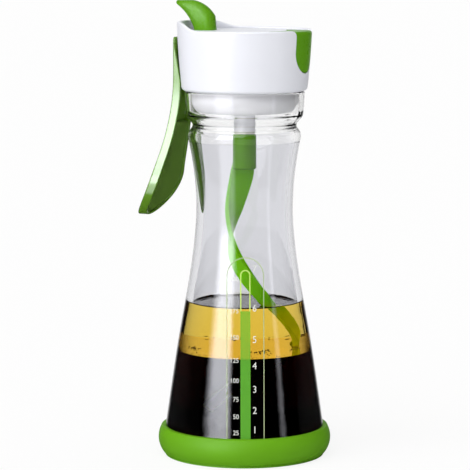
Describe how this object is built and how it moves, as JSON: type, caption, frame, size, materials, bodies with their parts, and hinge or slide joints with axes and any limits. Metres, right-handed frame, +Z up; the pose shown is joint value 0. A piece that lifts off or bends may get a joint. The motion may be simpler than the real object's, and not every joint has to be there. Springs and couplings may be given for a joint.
{
  "type": "salad dressing shaker bottle",
  "caption": "Waisted glass dressing bottle with a soft boot and a lift-off lid: a squeeze handle spins a helical mixing ribbon and a thumb tab flips the pour spout open.",
  "frame": {"origin": "centre of the boot's underside, on the surface the bottle stands on", "axes": "+Z up along the bottle's axis, +X towards the pour spout, the squeeze handle at -X"},
  "size_m": [0.0931, 0.0812, 0.2132],
  "materials": {
    "clear_glass": "clear, smooth",
    "lime_silicone": "soft satin silicone",
    "white_gloss": "glossy white",
    "white_satin": "satin white",
    "lime_gloss": "glossy lime green",
    "lime_deep": "satin deep lime green",
    "lime_blade": "glossy lime green",
    "clear_silicone": "pale silicone",
    "gear_acetal": "off-white acetal",
    "steel": "stainless steel"
  },
  "bodies": {
    "bottle": {"glass_bottle": "clear_glass", "base_boot": "lime_silicone"},
    "lid": {"lid_collar": "white_gloss", "lid_plug": "white_satin", "neck_gasket": "clear_silicone", "gear_deck": "white_satin", "gear_housing": "white_satin", "housing_screws": "steel", "collar_screws": "steel", "upper_bush": "gear_acetal", "lower_bush": "gear_acetal", "spindle_seal": "clear_silicone", "idler_post": "steel", "pour_chute": "white_satin", "trigger_pin": "steel", "flip_pin": "steel", "return_spring": "steel"},
    "flip_lid": {"top_plate": "white_gloss", "thumb_tab": "lime_gloss", "spout_flap": "lime_gloss", "spout_seal": "clear_silicone"},
    "trigger": {"trigger_handle": "lime_gloss", "handle_inlay": "lime_deep", "drive_pin": "steel"},
    "rack": {"drive_rack": "gear_acetal"},
    "idler": {"idler_gear": "gear_acetal"},
    "spindle": {"spindle_shaft": "steel", "spindle_pinion": "gear_acetal", "spindle_clip": "steel", "hub_pin": "steel", "blade_hub": "lime_blade", "mixing_blade": "lime_blade"}
  },
  "joints": [
    {"name": "lid_lift", "type": "slide", "parent": "bottle", "child": "lid", "axis": [0, 0, 1], "range_m": [0, 0.17]},
    {"name": "flip_open", "type": "hinge", "parent": "lid", "child": "flip_lid", "pos_m": [-0.0243, 0, 0.1952], "axis": [0, -1, 0], "range_deg": [0, 14]},
    {"name": "trigger_squeeze", "type": "hinge", "parent": "lid", "child": "trigger", "pos_m": [-0.0306, 0, 0.1736], "axis": [0, -1, 0], "range_deg": [0, 10], "stiffness_Nm_per_rad": 1.2, "springref_deg": -5.73, "deforming": ["return_spring"]},
    {"name": "rack_slide", "type": "slide", "parent": "lid", "child": "rack", "axis": [-1, 0, 0], "range_m": [0, 0.003]},
    {"name": "idler_spin", "type": "hinge", "parent": "lid", "child": "idler", "pos_m": [-0.00978, -0.00696, 0.1864], "axis": [0, 0, 1], "range_deg": [0, 47]},
    {"name": "blade_spin", "type": "hinge", "parent": "lid", "child": "spindle", "pos_m": [0, 0, 0.1864], "axis": [0, 0, 1], "range_deg": [-110, 0]}
  ],
  "couplings": [
    {"joint": "rack_slide", "follows": "trigger_squeeze", "m_per_rad": 0.01659},
    {"joint": "idler_spin", "follows": "trigger_squeeze", "ratio": 4.6083},
    {"joint": "blade_spin", "follows": "trigger_squeeze", "ratio": -10.753}
  ]
}
